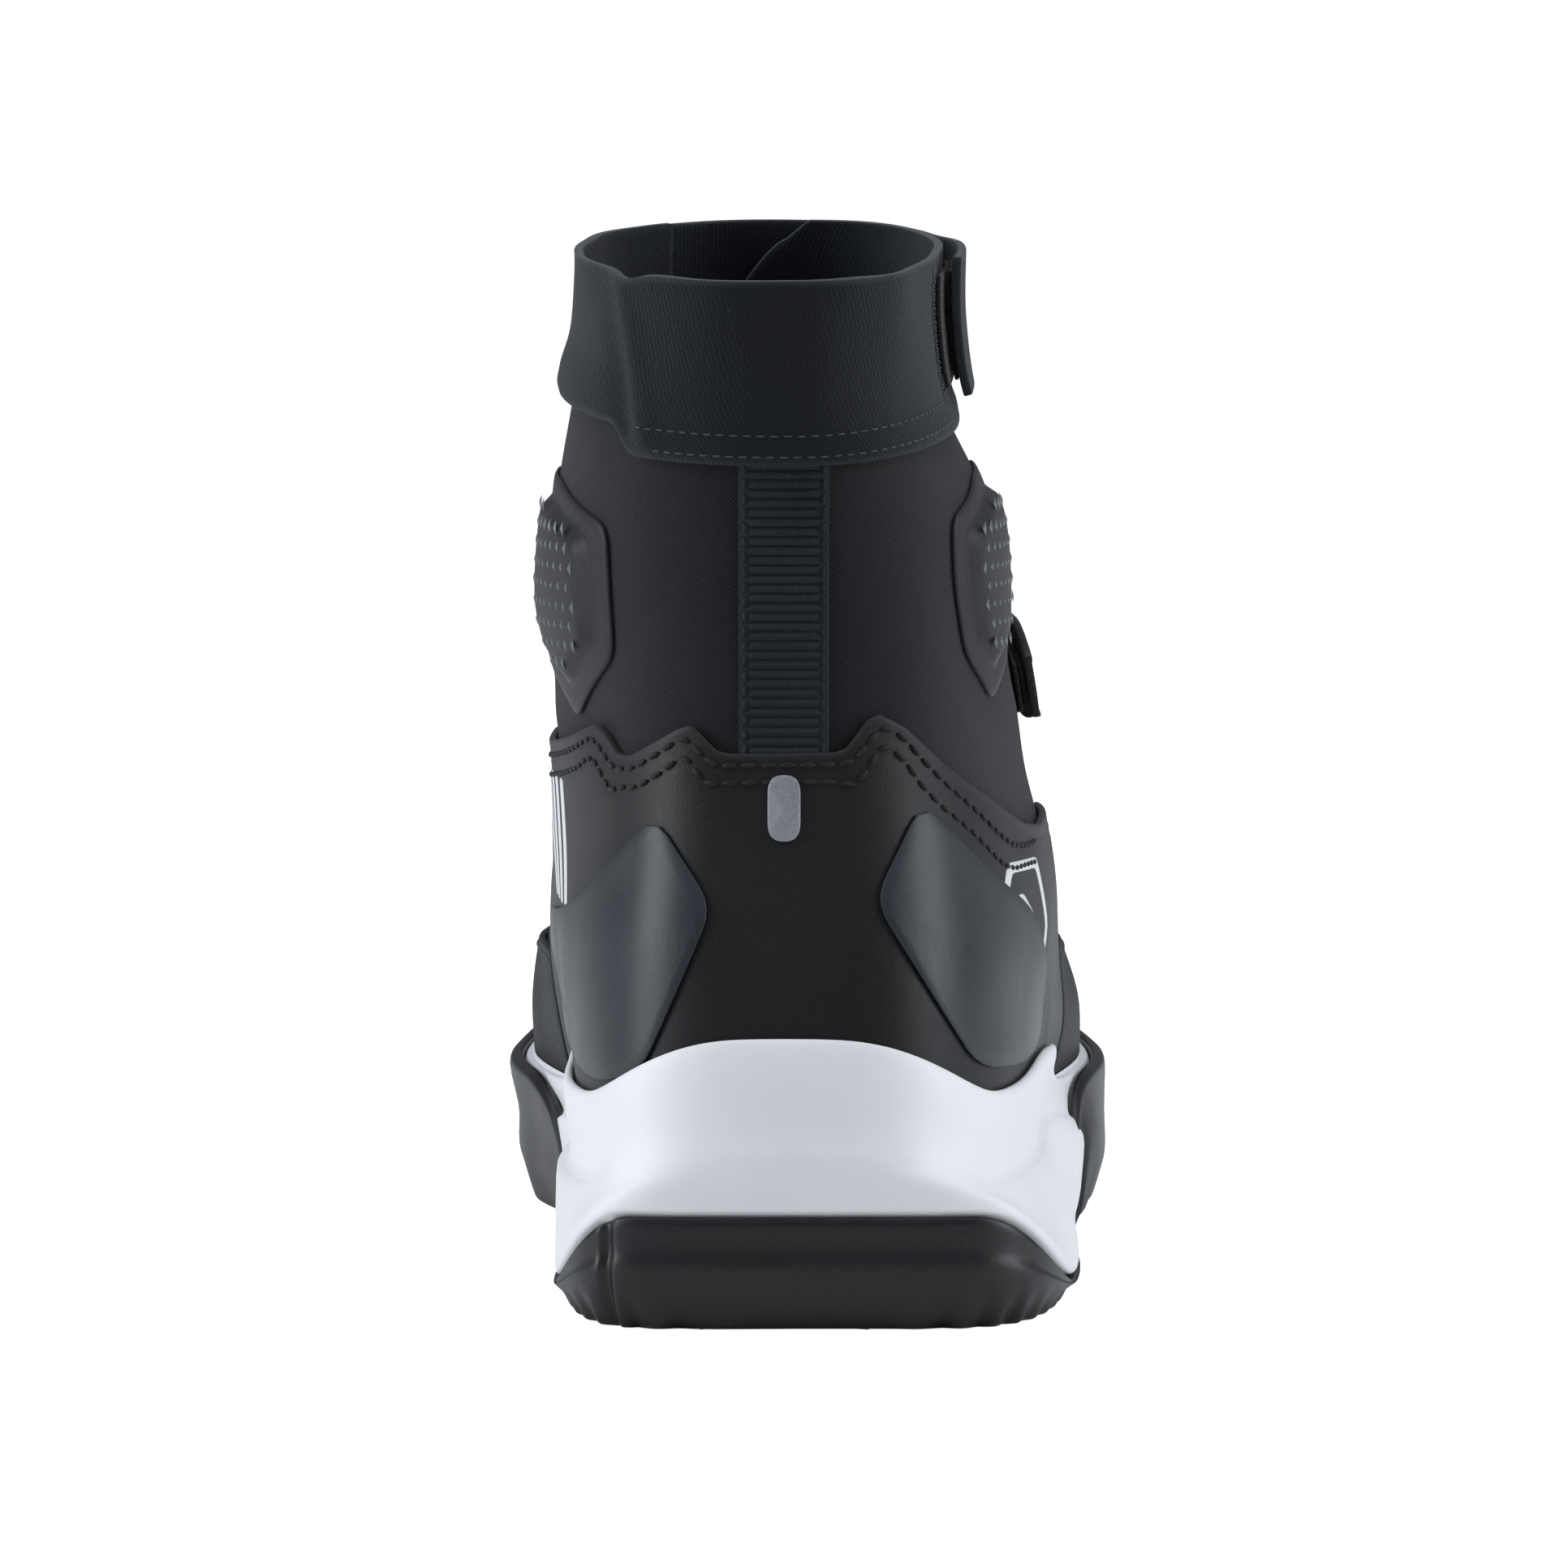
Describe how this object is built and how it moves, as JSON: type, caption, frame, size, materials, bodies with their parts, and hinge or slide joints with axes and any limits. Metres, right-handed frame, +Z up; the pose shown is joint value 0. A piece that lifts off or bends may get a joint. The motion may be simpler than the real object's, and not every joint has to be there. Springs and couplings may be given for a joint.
{
  "type": "touring riding boot",
  "caption": "Ankle-high soft touring boot for the right foot, with a white cup midsole, lugged rubber sole, moulded ankle guards, laces, an instep strap and a hook-and-loop collar.",
  "frame": {"origin": "middle of the boot's footprint, on the ground under the tread", "axes": "+X towards the outer side of the right foot, +Y towards the toe, +Z up"},
  "size_m": [0.11, 0.3022, 0.1833],
  "materials": {
    "softshell": "black twill softshell, matt",
    "microfibre": "black microfibre with a fine grain",
    "grey_film": "dark grey satin heat-pressed film",
    "reflective": "grey retroreflective film",
    "webbing": "black ribbed grosgrain",
    "guard": "dark grey moulded thermoplastic with small raised triangles",
    "stretch_knit": "charcoal brushed stretch knit",
    "hook_and_loop": "black hook-and-loop tape",
    "lining": "black brushed mesh lining and foam",
    "white_foam": "white moulded foam with a satin skin",
    "rubber": "black moulded rubber",
    "board": "fibre board and thermoplastic sheet",
    "steel": "spring steel strip",
    "cord": "black braided lace"
  },
  "bodies": {
    "boot": {"outsole": "rubber", "midsole": "white_foam", "insole_board": "board", "shank": "steel", "footbed": "lining", "quarter_lateral": "softshell", "quarter_medial": "softshell", "vamp": "softshell", "tongue": "softshell", "lining": "lining", "heel_stiffener": "board", "toe_puff": "board", "ankle_foam_lateral": "lining", "ankle_foam_medial": "lining", "heel_overlay": "microfibre", "heel_film_lateral": "grey_film", "heel_film_medial": "grey_film", "reflector": "reflective", "heel_webbing": "webbing", "ankle_guard_lateral": "guard", "ankle_guard_medial": "guard", "forefoot_overlay_lateral": "microfibre", "forefoot_overlay_medial": "microfibre", "toe_cap": "rubber", "eyestay_lateral": "microfibre", "eyestay_medial": "microfibre", "lace_loop_lateral_1": "webbing", "lace_loop_lateral_2": "webbing", "lace_loop_lateral_3": "webbing", "lace_loop_medial_1": "webbing", "lace_loop_medial_2": "webbing", "lace_loop_medial_3": "webbing", "lace": "cord", "lace_anchor": "microfibre", "lace_garage": "microfibre", "ankle_strap_root": "webbing", "ankle_strap_loop": "hook_and_loop", "collar_band": "stretch_knit", "collar_loop": "hook_and_loop"},
    "collar_flap": {"collar_flap": "stretch_knit", "collar_hook": "hook_and_loop"},
    "ankle_strap": {"ankle_strap": "webbing", "ankle_strap_hook": "hook_and_loop"}
  },
  "joints": [
    {"name": "collar_flap_hinge", "type": "hinge", "parent": "boot", "child": "collar_flap", "pos_m": [-0.0318, -0.034, 0.1706], "axis": [0.0057, -0.1752, 0.9845], "range_deg": [0, 110]},
    {"name": "ankle_strap_hinge", "type": "hinge", "parent": "boot", "child": "ankle_strap", "pos_m": [-0.0357, -0.0134, 0.1148], "axis": [-0.0256, -0.668, 0.7437], "range_deg": [0, 90]}
  ]
}
